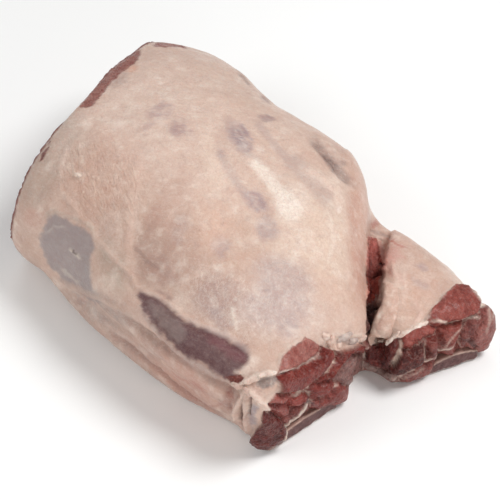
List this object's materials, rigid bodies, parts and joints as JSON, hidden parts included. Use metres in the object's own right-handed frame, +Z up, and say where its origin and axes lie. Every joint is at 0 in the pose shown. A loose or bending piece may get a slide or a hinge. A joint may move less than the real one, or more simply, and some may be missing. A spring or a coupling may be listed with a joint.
{
  "type": "leg of lamb",
  "caption": "Raw leg of lamb, boned and squared: a thick fat-covered mass with a lower lobe beside it and sawn ends showing lean meat and flat bone",
  "frame": {"origin": "the middle of the leg's bounding box, on the table", "axes": "+X out of the sawn front end, +Y to the lower lobe, +Z up"},
  "size_m": [0.3244, 0.2046, 0.0976],
  "materials": {
    "leg": "moist fat and lean meat, satin",
    "bone": "sawn bone, matte"
  },
  "bodies": {
    "root": {"leg": "leg", "main_bone": "bone", "lobe_bone": "bone"}
  },
  "joints": []
}
